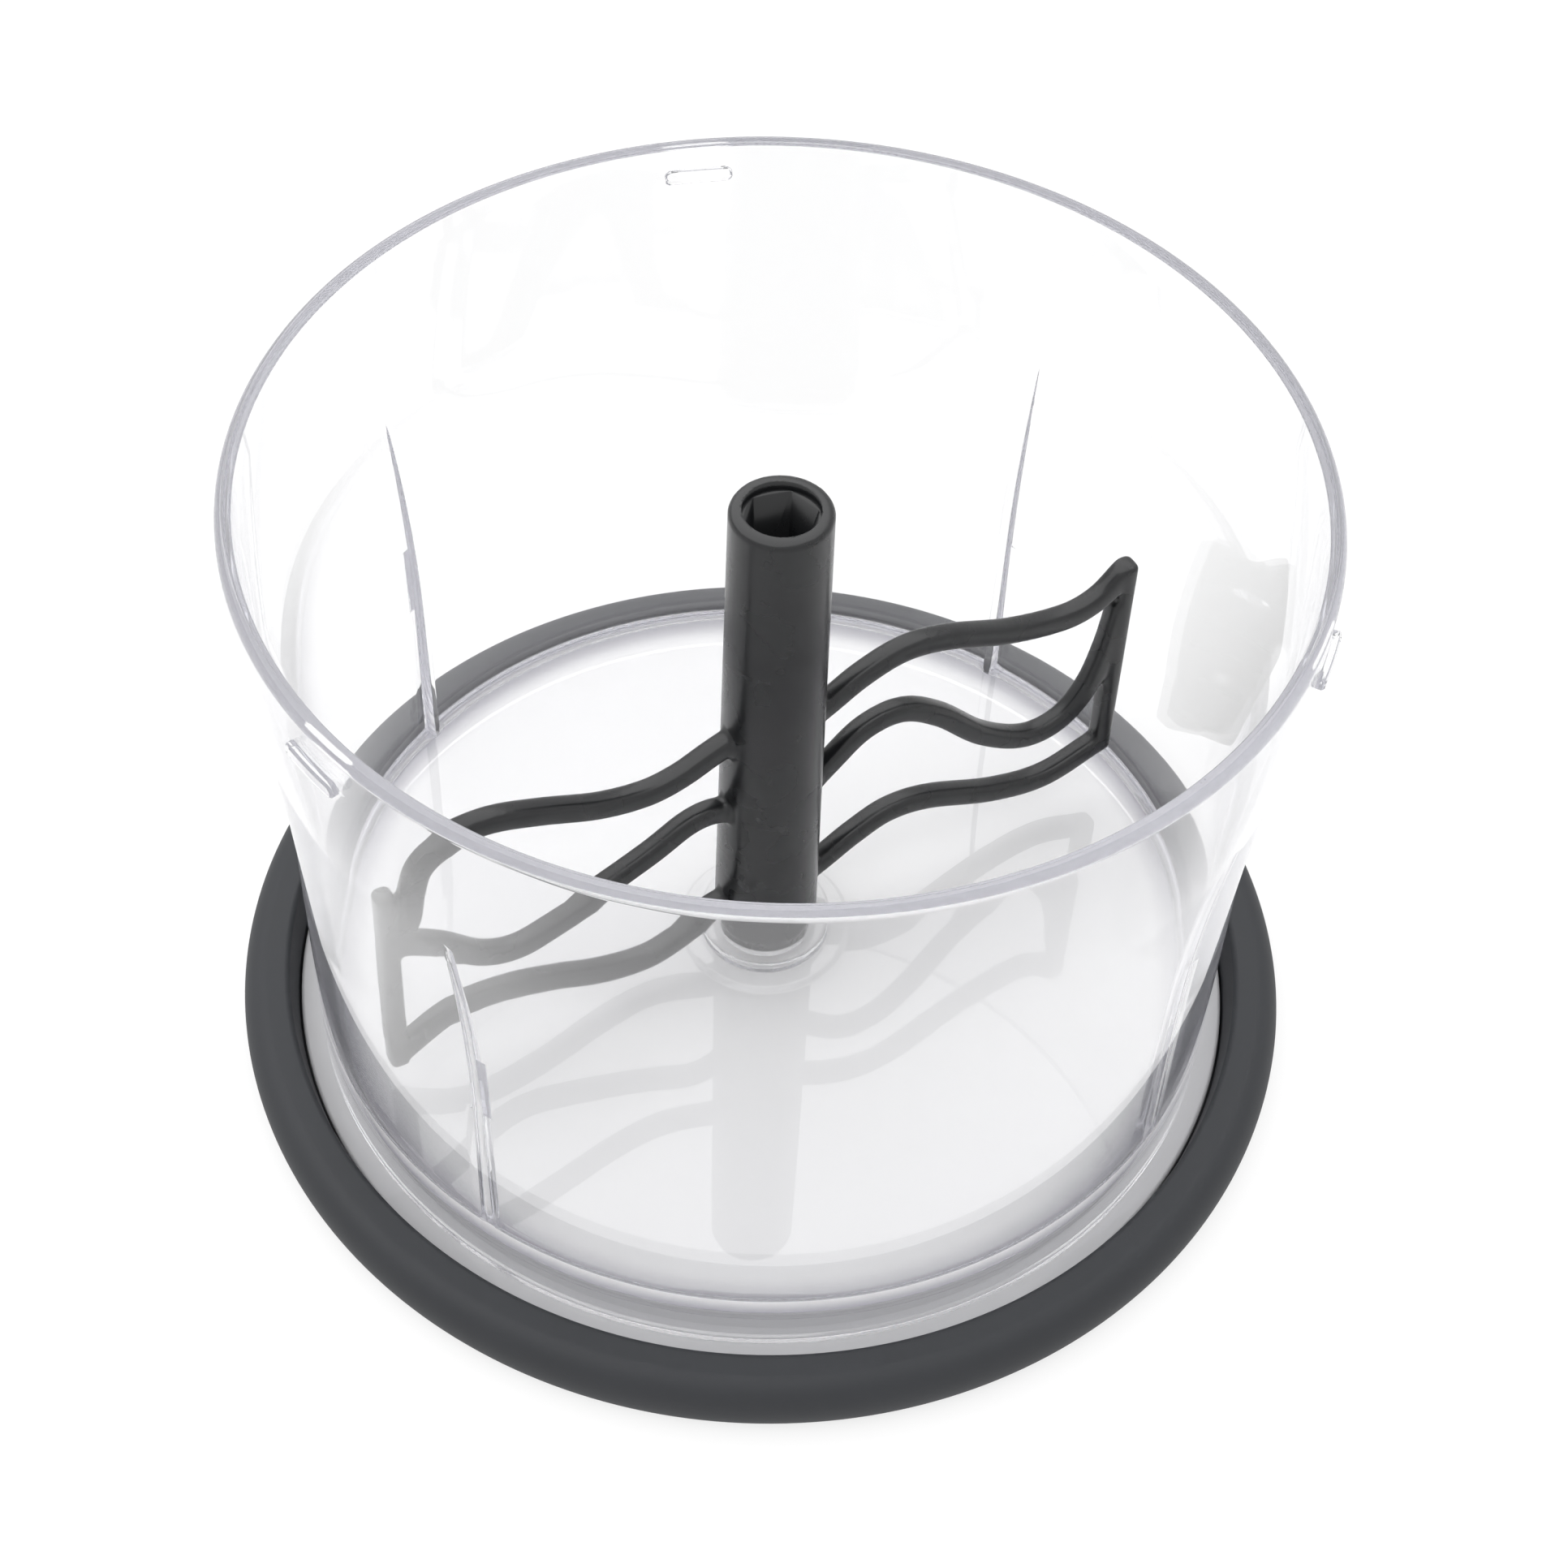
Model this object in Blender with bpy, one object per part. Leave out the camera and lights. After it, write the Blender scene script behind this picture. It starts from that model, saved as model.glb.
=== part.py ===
"""A mini chopper bowl with its mixing paddle, on a non-slip ring base.

All sizes are in millimetres, times MM to give metres. The bowl's axis is the world Z axis, and Z = 0
is the table. The view that the object is known from looks along +Y.
"""

import math

import bmesh
import bpy
from mathutils import Vector

MM = 0.001

# Fits: the space left between two pieces that touch or turn on one another.
SEAT_GAP = 0.3
TURNING_GAP = 0.3

# Round pieces
ROUND_STEPS = 64
SHAFT_STEPS = 36
PIN_STEPS = 24
CORNER_STEPS = 2

# Bowl
RIM_RADIUS = 65.0
RIM_HEIGHT = 95.0
RIM_ROUND = 0.45
RIM_STEP_WIDTH = 0.85
RIM_STEP_DEPTH = 0.6
WALL_THICKNESS = 2.0
FLOOR_TOP = 11.6
FLOOR_THICKNESS = 2.0
FLOOR_CORNER_ROUND = 1.6
SKIRT_BOTTOM_ROUND = 0.5
# The wall widens by RIM_FLARE from the skirt to the rim over TAPER_HEIGHT, below a straight band. It
# curves outwards up to TAPER_TURN, a share of that height, and back upright above. The inner side
# does so a little lower.
RIM_FLARE = 3.6
BAND_HEIGHT = 4.0
TAPER_HEIGHT = 53.0
TAPER_TURN = 0.61
TAPER_STEPS = 10
TAPER_DROP_INSIDE = 1.0

# Ribs up the inside of the wall
RIB_AZIMUTHS = (57.0, 147.0, 237.0, 327.0)
RIB_HEIGHT = 64.4
RIB_PROUD = 1.2
RIB_FOOT_WIDTH = 2.0
RIB_TOP_WIDTH = 0.9
RIB_TIP_WIDTH = 0.4
RIB_ROOT_DEPTH = 0.9
RIB_EDGE = 0.35
RIB_SHARES = (0.0, 0.5, 0.7, 0.85, 0.94)

# Lugs that hold the lid, on the outside under the rim
LUG_AZIMUTHS = (101.5, 221.5, 341.5)
LUG_LENGTH = 9.0
LUG_HEIGHT = 2.0
LUG_PROUD = 1.0
LUG_EDGE = 0.3
LUG_DROP = 6.0
LUG_ROOT_DEPTH = 0.9
LUG_END_STEPS = 4

# Boss in the middle of the floor: a flange, and a cup in which the shaft's foot turns
FLANGE_RADIUS = 11.2
FLANGE_HEIGHT = 0.8
CUP_WALL = 2.3
CUP_HEIGHT = 2.8
CUP_EDGE = 0.4
HUB_WALL = 2.3
HUB_LENGTH = 4.6
HUB_END_THICKNESS = 1.2

# Pin pressed into the boss
PIN_RADIUS = 2.2
PIN_REACH = 16.0
PIN_EDGE = 0.7

# Paddle shaft
FOOT_RADIUS = 6.2
FOOT_HEIGHT = 3.4
FOOT_EDGE = 0.4
SHAFT_LENGTH = 77.1
SHAFT_TOP_RADIUS = 6.35
SHAFT_BASE_RADIUS = 6.95
SHAFT_TOP_EDGE = 0.5
PIN_BORE_SPARE = 1.5
CORE_RADIUS = 3.7
CORE_WEB = 4.5
SOCKET_ACROSS_FLATS = 7.9
SOCKET_DEPTH = 20.0
SOCKET_TURN = 18.0
LEAD_IN_RADIUS = 4.75
LEAD_IN_DEPTH = 1.3
CUT_PAST = 1.0

# Paddle arms. They lie in one upright plane through the axis, turned by ARM_AZIMUTH from +X.
ARM_AZIMUTH = 31.0
ARM_CLEARANCE = 3.2
BAR_THICKNESS = 3.3
BAR_DEPTH = 2.9
MIDDLE_BAR_DEPTH = 2.8
BAR_ROUND = 0.85
POST_THICKNESS = 2.6
POST_DEPTH = 3.1
# How a post's end closes in: setbacks from the end, in corner radii, and the section's size there
END_SECTIONS = (
    (0.0, 0.45),
    (0.4, 0.8),
    (1.3, 1.0),
)
SPAN_STEPS = 3
# Middle lines of the wavy bars: the share of the way from the shaft's wall to the post, and the height
# above the shaft's foot
RIGHT_TOP_BAR = (
    (0.0, 38.3),
    (0.065, 40.1),
    (0.16, 42.7),
    (0.28, 44.4),
    (0.415, 43.5),
    (0.625, 39.8),
    (0.81, 38.2),
    (0.915, 39.4),
    (0.99, 42.7),
)
RIGHT_MIDDLE_BAR = (
    (0.0, 24.7),
    (0.07, 27.9),
    (0.175, 32.0),
    (0.295, 32.6),
    (0.42, 28.7),
    (0.57, 21.3),
    (0.72, 16.9),
    (0.84, 17.4),
    (0.925, 22.1),
    (0.97, 29.1),
    (0.995, 37.1),
)
RIGHT_BOTTOM_BAR = (
    (0.0, 6.5),
    (0.075, 8.5),
    (0.17, 11.1),
    (0.28, 13.0),
    (0.415, 12.1),
    (0.635, 7.8),
    (0.82, 6.3),
    (1.0, 9.0),
)
LEFT_TOP_BAR = (
    (0.0, 40.1),
    (0.075, 38.8),
    (0.17, 36.9),
    (0.27, 36.2),
    (0.405, 37.4),
    (0.565, 40.5),
    (0.705, 42.7),
    (0.82, 42.6),
    (0.895, 40.3),
    (0.925, 36.4),
    (0.943, 31.8),
    (0.98, 27.6),
)
LEFT_MIDDLE_BAR = (
    (0.0, 26.2),
    (0.07, 27.4),
    (0.145, 27.0),
    (0.25, 24.3),
    (0.38, 21.6),
    (0.53, 18.9),
    (0.655, 17.5),
    (0.76, 19.3),
    (0.865, 24.1),
    (0.98, 27.8),
)
LEFT_BOTTOM_BAR = (
    (0.0, 8.3),
    (0.075, 7.5),
    (0.17, 5.3),
    (0.27, 4.0),
    (0.405, 5.1),
    (0.55, 7.9),
    (0.675, 9.8),
    (0.78, 10.4),
    (0.88, 9.3),
    (1.0, 5.5),
)
# Posts that close the arms' outer ends: the heights of foot and tip above the shaft's foot
RIGHT_POST = (8.0, 44.1)
LEFT_POST = (3.7, 37.5)
POST_LEAN = 0.3

# Ring base: a soft ring round the edge of a thin disc. The rim fits it too, when it serves as a lid.
RING_WIDTH = 6.4
RING_HEIGHT = 8.0
RING_LID_GAP = 0.3
RING_ROLL_HEIGHT = 3.6
RING_FOOT_INSET = 1.8
RING_CROWN = 3.6
RING_TOP_EDGE = 0.7
RING_LIP_WIDTH = 3.4
RING_LIP_THICKNESS = 0.9
RING_DRAFT = 0.9
DISC_THICKNESS = 1.9
DISC_EDGE = 0.5

# Places that follow from the sizes above
SKIRT_RADIUS = RIM_RADIUS - RIM_FLARE
BASE_TOP = RING_LIP_THICKNESS + SEAT_GAP + DISC_THICKNESS
SKIRT_BOTTOM = BASE_TOP + SEAT_GAP
FLOOR_BOTTOM = FLOOR_TOP - FLOOR_THICKNESS
HUB_BOTTOM = FLOOR_BOTTOM - HUB_LENGTH
FOOT_BOTTOM = FLOOR_TOP + SEAT_GAP
SHAFT_TOP = FOOT_BOTTOM + SHAFT_LENGTH
PIN_BOTTOM = HUB_BOTTOM + HUB_END_THICKNESS + SEAT_GAP
PIN_TOP = FOOT_BOTTOM + PIN_REACH
PIN_BORE_TOP = PIN_TOP + PIN_BORE_SPARE
CORE_BOTTOM = PIN_BORE_TOP + CORE_WEB
SOCKET_BOTTOM = SHAFT_TOP - SOCKET_DEPTH
BAR_ROOT = (CORE_RADIUS + SHAFT_BASE_RADIUS) / 2
POST_DISTANCE = SKIRT_RADIUS - WALL_THICKNESS - RIB_PROUD - ARM_CLEARANCE - POST_THICKNESS / 2
RING_INNER_RADIUS = RIM_RADIUS + RING_LID_GAP
POCKET_RADIUS = RING_INNER_RADIUS - RING_DRAFT


def clear_scene():
    for item in list(bpy.data.objects):
        bpy.data.objects.remove(item, do_unlink=True)


def material(name, colour, roughness, metallic=0.0, clear=0.0):
    made = bpy.data.materials.new(name)
    made.use_nodes = True
    shader = made.node_tree.nodes["Principled BSDF"]
    shader.inputs["Base Color"].default_value = (*colour, 1.0)
    shader.inputs["Roughness"].default_value = roughness
    shader.inputs["Metallic"].default_value = metallic
    shader.inputs["Transmission Weight"].default_value = clear
    return made


def object_from(name, mesh_edit, made_of=None):
    bmesh.ops.recalc_face_normals(mesh_edit, faces=mesh_edit.faces[:])
    mesh = bpy.data.meshes.new(name)
    mesh_edit.to_mesh(mesh)
    mesh_edit.free()
    made = bpy.data.objects.new(name, mesh)
    bpy.context.scene.collection.objects.link(made)
    if made_of is not None:
        mesh.materials.append(made_of)
    return made


def revolve(profile, steps, turn=0.0):
    """A closed profile of radius and height, turned about Z. A radius of 0 is on the axis."""
    edit = bmesh.new()
    rings = []
    for radius, height in profile:
        if radius == 0.0:
            rings.append([edit.verts.new((0.0, 0.0, height * MM))] * steps)
            continue
        ring = []
        for step in range(steps):
            angle = math.radians(turn) + 2.0 * math.pi * step / steps
            point = Vector((radius * math.cos(angle), radius * math.sin(angle), height)) * MM
            ring.append(edit.verts.new(point))
        rings.append(ring)
    for here, there in zip(rings, rings[1:] + rings[:1]):
        for step in range(steps):
            after = (step + 1) % steps
            corners = []
            for vert in (here[step], here[after], there[after], there[step]):
                if vert not in corners:
                    corners.append(vert)
            if len(corners) > 2:
                edit.faces.new(corners)
    return edit


def loft(rings):
    """Closed outlines joined one to the next, with flat ends."""
    edit = bmesh.new()
    made = [[edit.verts.new(point) for point in ring] for ring in rings]
    count = len(made[0])
    for here, there in zip(made, made[1:]):
        for index in range(count):
            after = (index + 1) % count
            edit.faces.new((here[index], here[after], there[after], there[index]))
    edit.faces.new(made[0])
    edit.faces.new(made[-1])
    return edit


def combine(target, other, operation):
    """The target after an exact Boolean with the other object, which is then removed."""
    other.hide_render = True
    other.display_type = "WIRE"
    step = target.modifiers.new(operation.title(), "BOOLEAN")
    step.operation = operation
    step.solver = "EXACT"
    step.object = other
    bpy.context.view_layer.update()
    graph = bpy.context.evaluated_depsgraph_get()
    result = bpy.data.meshes.new_from_object(target.evaluated_get(graph))
    target.modifiers.remove(step)
    before = target.data
    target.data = result
    result.name = target.name
    bpy.data.meshes.remove(before)
    bpy.data.objects.remove(other, do_unlink=True)


def arc(centre, across, start, end, steps, upright=None):
    """Points of radius and height round a corner, from one angle to the other in degrees."""
    upright = across if upright is None else upright
    points = []
    for step in range(steps + 1):
        angle = math.radians(start + (end - start) * step / steps)
        points.append((centre[0] + across * math.cos(angle), centre[1] + upright * math.sin(angle)))
    return points


def smooth_line(points, steps):
    """A Catmull-Rom curve through the points, with so many steps between each two."""
    line = [Vector(points[0]) * 2.0 - Vector(points[1])]
    line += [Vector(point) for point in points]
    line += [Vector(points[-1]) * 2.0 - Vector(points[-2])]
    smooth = []
    for index in range(1, len(line) - 2):
        before, start, end, after = line[index - 1:index + 3]
        for step in range(steps):
            t = step / steps
            smooth.append(0.5 * (
                2.0 * start
                + (end - before) * t
                + (2.0 * before - 5.0 * start + 4.0 * end - after) * t * t
                + (3.0 * start - before - 3.0 * end + after) * t ** 3
            ))
    smooth.append(line[-2])
    return smooth


def outer_wall():
    """The bowl's outer wall from the skirt's foot to the rim, as points of radius and height."""
    taper_bottom = RIM_HEIGHT - BAND_HEIGHT - TAPER_HEIGHT
    line = [(SKIRT_RADIUS, SKIRT_BOTTOM + SKIRT_BOTTOM_ROUND)]
    for step in range(TAPER_STEPS + 1):
        share = step / TAPER_STEPS
        if share < TAPER_TURN:
            flare = share ** 2 / TAPER_TURN
        else:
            flare = 1.0 - (1.0 - share) ** 2 / (1.0 - TAPER_TURN)
        line.append((SKIRT_RADIUS + RIM_FLARE * flare, taper_bottom + TAPER_HEIGHT * share))
    return line


def inner_wall():
    """The bowl's inner wall above the skirt, as points of radius and height."""
    return [(radius - WALL_THICKNESS, height - TAPER_DROP_INSIDE) for radius, height in outer_wall()[1:]]


def inner_radius(height):
    """Radius of the bowl's inner wall at a height."""
    line = inner_wall()
    for (low_radius, low), (high_radius, high) in zip(line, line[1:]):
        if height <= high:
            return low_radius + (high_radius - low_radius) * max(height - low, 0.0) / (high - low)
    return RIM_RADIUS - WALL_THICKNESS


def bar_section(thickness, depth, corner):
    """A rounded rectangle: the first number lies in the arm's plane, the second across it."""
    points = []
    for side_a, side_b, start in ((1, 1, 0.0), (-1, 1, 90.0), (-1, -1, 180.0), (1, -1, 270.0)):
        centre = (side_a * (thickness / 2 - corner), side_b * (depth / 2 - corner))
        points += arc(centre, corner, start, start + 90.0, 2)
    return points


def arm_point(side, distance, height, across):
    """A point of the arm's plane, or beside it, in the world. Side is 1 for right and -1 for left."""
    azimuth = math.radians(ARM_AZIMUTH)
    along = side * distance
    return Vector((
        along * math.cos(azimuth) - across * math.sin(azimuth),
        along * math.sin(azimuth) + across * math.cos(azimuth),
        height,
    )) * MM


def sweep_bar(side, line, thickness, depth, rounded=False):
    """The section swept along a line in the arm's plane. Rounded ends close in over a few sections."""
    section = bar_section(thickness, depth, BAR_ROUND)
    stations = []
    for index, point in enumerate(line):
        before = line[max(index - 1, 0)]
        after = line[min(index + 1, len(line) - 1)]
        stations.append((point, (after - before).normalized(), 1.0))
    if rounded:
        foot, ahead, _ = stations[0]
        tip = stations[-1][0]
        closing = [(BAR_ROUND * setback, size) for setback, size in END_SECTIONS]
        stations = [(foot + ahead * setback, ahead, size) for setback, size in closing]
        stations += [(tip - ahead * setback, ahead, size) for setback, size in reversed(closing)]
    rings = []
    for point, ahead, size in stations:
        normal = Vector((-ahead.y, ahead.x))
        ring = []
        for in_plane, across in section:
            place = point + normal * (in_plane * size)
            ring.append(arm_point(side, place.x, place.y, across * size))
        rings.append(ring)
    return loft(rings)


def build_ring(made_of):
    """Soft ring: rolled outer side, a pocket for the disc and a lip under the disc's edge."""
    outer = RING_INNER_RADIUS + RING_WIDTH
    roll = (outer - RING_FOOT_INSET, RING_ROLL_HEIGHT)
    crown = (outer - RING_CROWN, RING_ROLL_HEIGHT)
    top_edge = (RING_INNER_RADIUS + RING_TOP_EDGE, RING_HEIGHT - RING_TOP_EDGE)
    profile = [(POCKET_RADIUS - RING_LIP_WIDTH, 0.0)]
    profile += arc(roll, RING_FOOT_INSET, -90.0, 0.0, 3, RING_ROLL_HEIGHT)
    profile += arc(crown, RING_CROWN, 0.0, 90.0, 4, RING_HEIGHT - RING_ROLL_HEIGHT)[1:]
    profile += arc(top_edge, RING_TOP_EDGE, 90.0, 180.0, 2)
    profile += [
        (POCKET_RADIUS, BASE_TOP),
        (POCKET_RADIUS, RING_LIP_THICKNESS),
        (POCKET_RADIUS - RING_LIP_WIDTH, RING_LIP_THICKNESS),
    ]
    return object_from("non_slip_ring", revolve(profile, ROUND_STEPS), made_of)


def build_disc(made_of):
    """Thin disc that the bowl stands on, inside the ring."""
    radius = POCKET_RADIUS - SEAT_GAP
    bottom = BASE_TOP - DISC_THICKNESS
    profile = [
        (0.0, bottom),
        (radius - DISC_EDGE, bottom),
        (radius, bottom + DISC_EDGE),
        (radius, BASE_TOP - DISC_EDGE),
        (radius - DISC_EDGE, BASE_TOP),
        (0.0, BASE_TOP),
    ]
    return object_from("base_disc", revolve(profile, ROUND_STEPS), made_of)


def bowl_profile():
    """The bowl's outline from the hub's foot, out round the skirt, up to the rim and back inside."""
    hole = PIN_RADIUS + SEAT_GAP
    hub = hole + HUB_WALL
    skirt_inner = SKIRT_RADIUS - WALL_THICKNESS
    flange_top = FLOOR_TOP + FLANGE_HEIGHT
    cup_top = FLOOR_TOP + CUP_HEIGHT
    cup_inner = FOOT_RADIUS + TURNING_GAP
    cup_outer = cup_inner + CUP_WALL
    profile = [
        (0.0, HUB_BOTTOM),
        (hub - CUP_EDGE, HUB_BOTTOM),
        (hub, HUB_BOTTOM + CUP_EDGE),
        (hub, FLOOR_BOTTOM),
        (skirt_inner - FLOOR_CORNER_ROUND, FLOOR_BOTTOM),
        (skirt_inner, FLOOR_BOTTOM - FLOOR_CORNER_ROUND),
        (skirt_inner, SKIRT_BOTTOM + SKIRT_BOTTOM_ROUND),
        (skirt_inner + SKIRT_BOTTOM_ROUND, SKIRT_BOTTOM),
        (SKIRT_RADIUS - SKIRT_BOTTOM_ROUND, SKIRT_BOTTOM),
    ]
    profile += outer_wall()
    rim_edge = (RIM_RADIUS - RIM_ROUND, RIM_HEIGHT - RIM_ROUND)
    profile += arc(rim_edge, RIM_ROUND, 0.0, 90.0, CORNER_STEPS)
    inner = RIM_RADIUS - WALL_THICKNESS
    step = inner + RIM_STEP_WIDTH
    step_height = RIM_HEIGHT - RIM_STEP_DEPTH
    profile += [
        (step, RIM_HEIGHT),
        (step - RIM_STEP_DEPTH / 3, step_height),
        (inner + RIM_STEP_WIDTH / 3, step_height),
        (inner, step_height - RIM_STEP_WIDTH / 3),
    ]
    profile += reversed(inner_wall())
    corner = (skirt_inner - FLOOR_CORNER_ROUND, FLOOR_TOP + FLOOR_CORNER_ROUND)
    profile += arc(corner, FLOOR_CORNER_ROUND, 0.0, -90.0, CORNER_STEPS + 1)
    profile += [
        (FLANGE_RADIUS + FLANGE_HEIGHT / 2, FLOOR_TOP),
        (FLANGE_RADIUS, flange_top),
        (cup_outer, flange_top),
        (cup_outer, cup_top - CUP_EDGE),
        (cup_outer - CUP_EDGE, cup_top),
        (cup_inner + CUP_EDGE / 2, cup_top),
        (cup_inner, cup_top - CUP_EDGE / 2),
        (cup_inner, FLOOR_TOP),
        (hole, FLOOR_TOP),
        (hole, HUB_BOTTOM + HUB_END_THICKNESS),
        (0.0, HUB_BOTTOM + HUB_END_THICKNESS),
    ]
    return profile


def build_rib(azimuth):
    """One rib, lofted up the wall: it narrows, and its tip sinks into the wall."""
    turn = math.radians(azimuth)
    foot = FLOOR_TOP - FLOOR_THICKNESS / 2
    height_above_foot = RIB_HEIGHT + FLOOR_THICKNESS / 2
    sections = []
    for share in RIB_SHARES:
        width = RIB_FOOT_WIDTH + (RIB_TOP_WIDTH - RIB_FOOT_WIDTH) * share
        sections.append((share, width, RIB_PROUD * (1.0 - share ** 3)))
    sections.append((1.0, RIB_TIP_WIDTH, -RIB_EDGE))
    rings = []
    for share, width, proud in sections:
        height = foot + height_above_foot * share
        inner = inner_radius(height)
        outline = (
            (inner + RIB_ROOT_DEPTH, -width / 2),
            (inner + RIB_ROOT_DEPTH, width / 2),
            (inner - proud + RIB_EDGE, width / 2),
            (inner - proud, width / 4),
            (inner - proud, -width / 4),
            (inner - proud + RIB_EDGE, -width / 2),
        )
        rings.append([
            Vector((
                radius * math.cos(turn) - across * math.sin(turn),
                radius * math.sin(turn) + across * math.cos(turn),
                height,
            )) * MM
            for radius, across in outline
        ])
    return object_from("rib", loft(rings))


def lug_outline():
    """The lug's face as a bar with round ends: the middle of each end's arc, and the arc's direction."""
    half = (LUG_LENGTH - LUG_HEIGHT) / 2
    turns = [math.pi * step / LUG_END_STEPS for step in range(LUG_END_STEPS + 1)]
    outline = []
    for side, start in ((1, -math.pi / 2), (-1, math.pi / 2)):
        outline += [(side * half, start + turn) for turn in turns]
        outline += [(side * share * half, start + math.pi) for share in (1 / 3, -1 / 3)]
    return outline


def build_lug(azimuth):
    """One lug, which follows the wall's curve and is narrower at its face by a small edge."""
    centre_height = RIM_HEIGHT - LUG_DROP
    rings = []
    for radius, inset in (
        (RIM_RADIUS - LUG_ROOT_DEPTH, 0.0),
        (RIM_RADIUS + LUG_PROUD - LUG_EDGE, 0.0),
        (RIM_RADIUS + LUG_PROUD, LUG_EDGE),
    ):
        reach = LUG_HEIGHT / 2 - inset
        ring = []
        for centre, angle in lug_outline():
            turn = math.radians(azimuth) + (centre + math.cos(angle) * reach) / RIM_RADIUS
            height = centre_height + math.sin(angle) * reach
            ring.append(Vector((radius * math.cos(turn), radius * math.sin(turn), height)) * MM)
        rings.append(ring)
    return object_from("lug", loft(rings))


def build_bowl(made_of):
    bowl = object_from("bowl", revolve(bowl_profile(), ROUND_STEPS), made_of)
    for azimuth in RIB_AZIMUTHS:
        combine(bowl, build_rib(azimuth), "UNION")
    for azimuth in LUG_AZIMUTHS:
        combine(bowl, build_lug(azimuth), "UNION")
    return bowl


def build_pin(made_of):
    """Plain pin with a chamfer at each end, seated on the end of the hub's hole."""
    profile = [
        (0.0, PIN_BOTTOM),
        (PIN_RADIUS - PIN_EDGE, PIN_BOTTOM),
        (PIN_RADIUS, PIN_BOTTOM + PIN_EDGE),
        (PIN_RADIUS, PIN_TOP - PIN_EDGE),
        (PIN_RADIUS - PIN_EDGE, PIN_TOP),
        (0.0, PIN_TOP),
    ]
    return object_from("spindle_pin", revolve(profile, PIN_STEPS), made_of)


def bar_line(bar):
    """A wavy bar's middle line, as distance from the axis and height."""
    reach = POST_DISTANCE - BAR_ROOT
    points = [(BAR_ROOT + reach * share, FOOT_BOTTOM + height) for share, height in bar]
    return smooth_line(points, SPAN_STEPS)


def cut_bore(paddle, name, radius, bottom, top, steps, turn=0.0):
    """A round bore up the shaft's axis, or a six-sided one with 6 steps."""
    outline = [(0.0, bottom), (radius, bottom), (radius, top), (0.0, top)]
    combine(paddle, object_from(name, revolve(outline, steps, turn)), "DIFFERENCE")


def build_paddle(made_of):
    """Hollow shaft with a hex socket, and two arms of wavy bars closed by posts, all one moulding."""
    foot_top = FOOT_BOTTOM + FOOT_HEIGHT
    profile = [
        (0.0, FOOT_BOTTOM),
        (FOOT_RADIUS - FOOT_EDGE, FOOT_BOTTOM),
        (FOOT_RADIUS, FOOT_BOTTOM + FOOT_EDGE),
        (FOOT_RADIUS, foot_top),
        (SHAFT_BASE_RADIUS, foot_top + FOOT_EDGE),
        (SHAFT_TOP_RADIUS, SHAFT_TOP - SHAFT_TOP_EDGE),
        (SHAFT_TOP_RADIUS - SHAFT_TOP_EDGE, SHAFT_TOP),
        (0.0, SHAFT_TOP),
    ]
    paddle = object_from("paddle", revolve(profile, SHAFT_STEPS), made_of)
    for side, bars, post in (
        (1, (RIGHT_TOP_BAR, RIGHT_MIDDLE_BAR, RIGHT_BOTTOM_BAR), RIGHT_POST),
        (-1, (LEFT_TOP_BAR, LEFT_MIDDLE_BAR, LEFT_BOTTOM_BAR), LEFT_POST),
    ):
        for bar, depth in zip(bars, (BAR_DEPTH, MIDDLE_BAR_DEPTH, BAR_DEPTH)):
            swept = sweep_bar(side, bar_line(bar), BAR_THICKNESS, depth)
            combine(paddle, object_from("bar", swept), "UNION")
        foot = Vector((POST_DISTANCE + POST_LEAN, FOOT_BOTTOM + post[0]))
        tip = Vector((POST_DISTANCE, FOOT_BOTTOM + post[1]))
        swept = sweep_bar(side, [foot, tip], POST_THICKNESS, POST_DEPTH, rounded=True)
        combine(paddle, object_from("post", swept), "UNION")

    cut_bore(paddle, "pin_bore", PIN_RADIUS + TURNING_GAP, FOOT_BOTTOM - CUT_PAST, PIN_BORE_TOP, PIN_STEPS)
    cut_bore(paddle, "core", CORE_RADIUS, CORE_BOTTOM, SOCKET_BOTTOM + CUT_PAST, PIN_STEPS)
    corner_radius = SOCKET_ACROSS_FLATS / math.sqrt(3.0)
    cut_bore(paddle, "socket", corner_radius, SOCKET_BOTTOM, SHAFT_TOP + CUT_PAST, 6, SOCKET_TURN)
    cut_bore(paddle, "lead_in", LEAD_IN_RADIUS, SHAFT_TOP - LEAD_IN_DEPTH, SHAFT_TOP + CUT_PAST, SHAFT_STEPS)
    return paddle


clear_scene()

soft_grey = material("soft_grey_rubber", (0.068, 0.070, 0.074), 0.75)
light_plastic = material("light_plastic", (0.72, 0.72, 0.73), 0.45)
clear_plastic = material("clear_plastic", (0.95, 0.95, 0.97), 0.04, clear=1.0)
dark_plastic = material("dark_grey_plastic", (0.048, 0.050, 0.053), 0.28)
bright_steel = material("bright_steel", (0.62, 0.62, 0.63), 0.25, metallic=1.0)

build_ring(soft_grey)
build_disc(light_plastic)
build_bowl(clear_plastic)
build_pin(bright_steel)
build_paddle(dark_plastic)

for made in bpy.context.scene.objects:
    made.data.shade_smooth()
    made.data.set_sharp_from_angle(angle=math.radians(30.0))
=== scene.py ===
"""The looks of a mini food chopper: its clear bowl, wavy mixing paddle and non-slip ring base."""

import math

import bmesh
import bpy
from mathutils import Matrix, Vector


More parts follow.
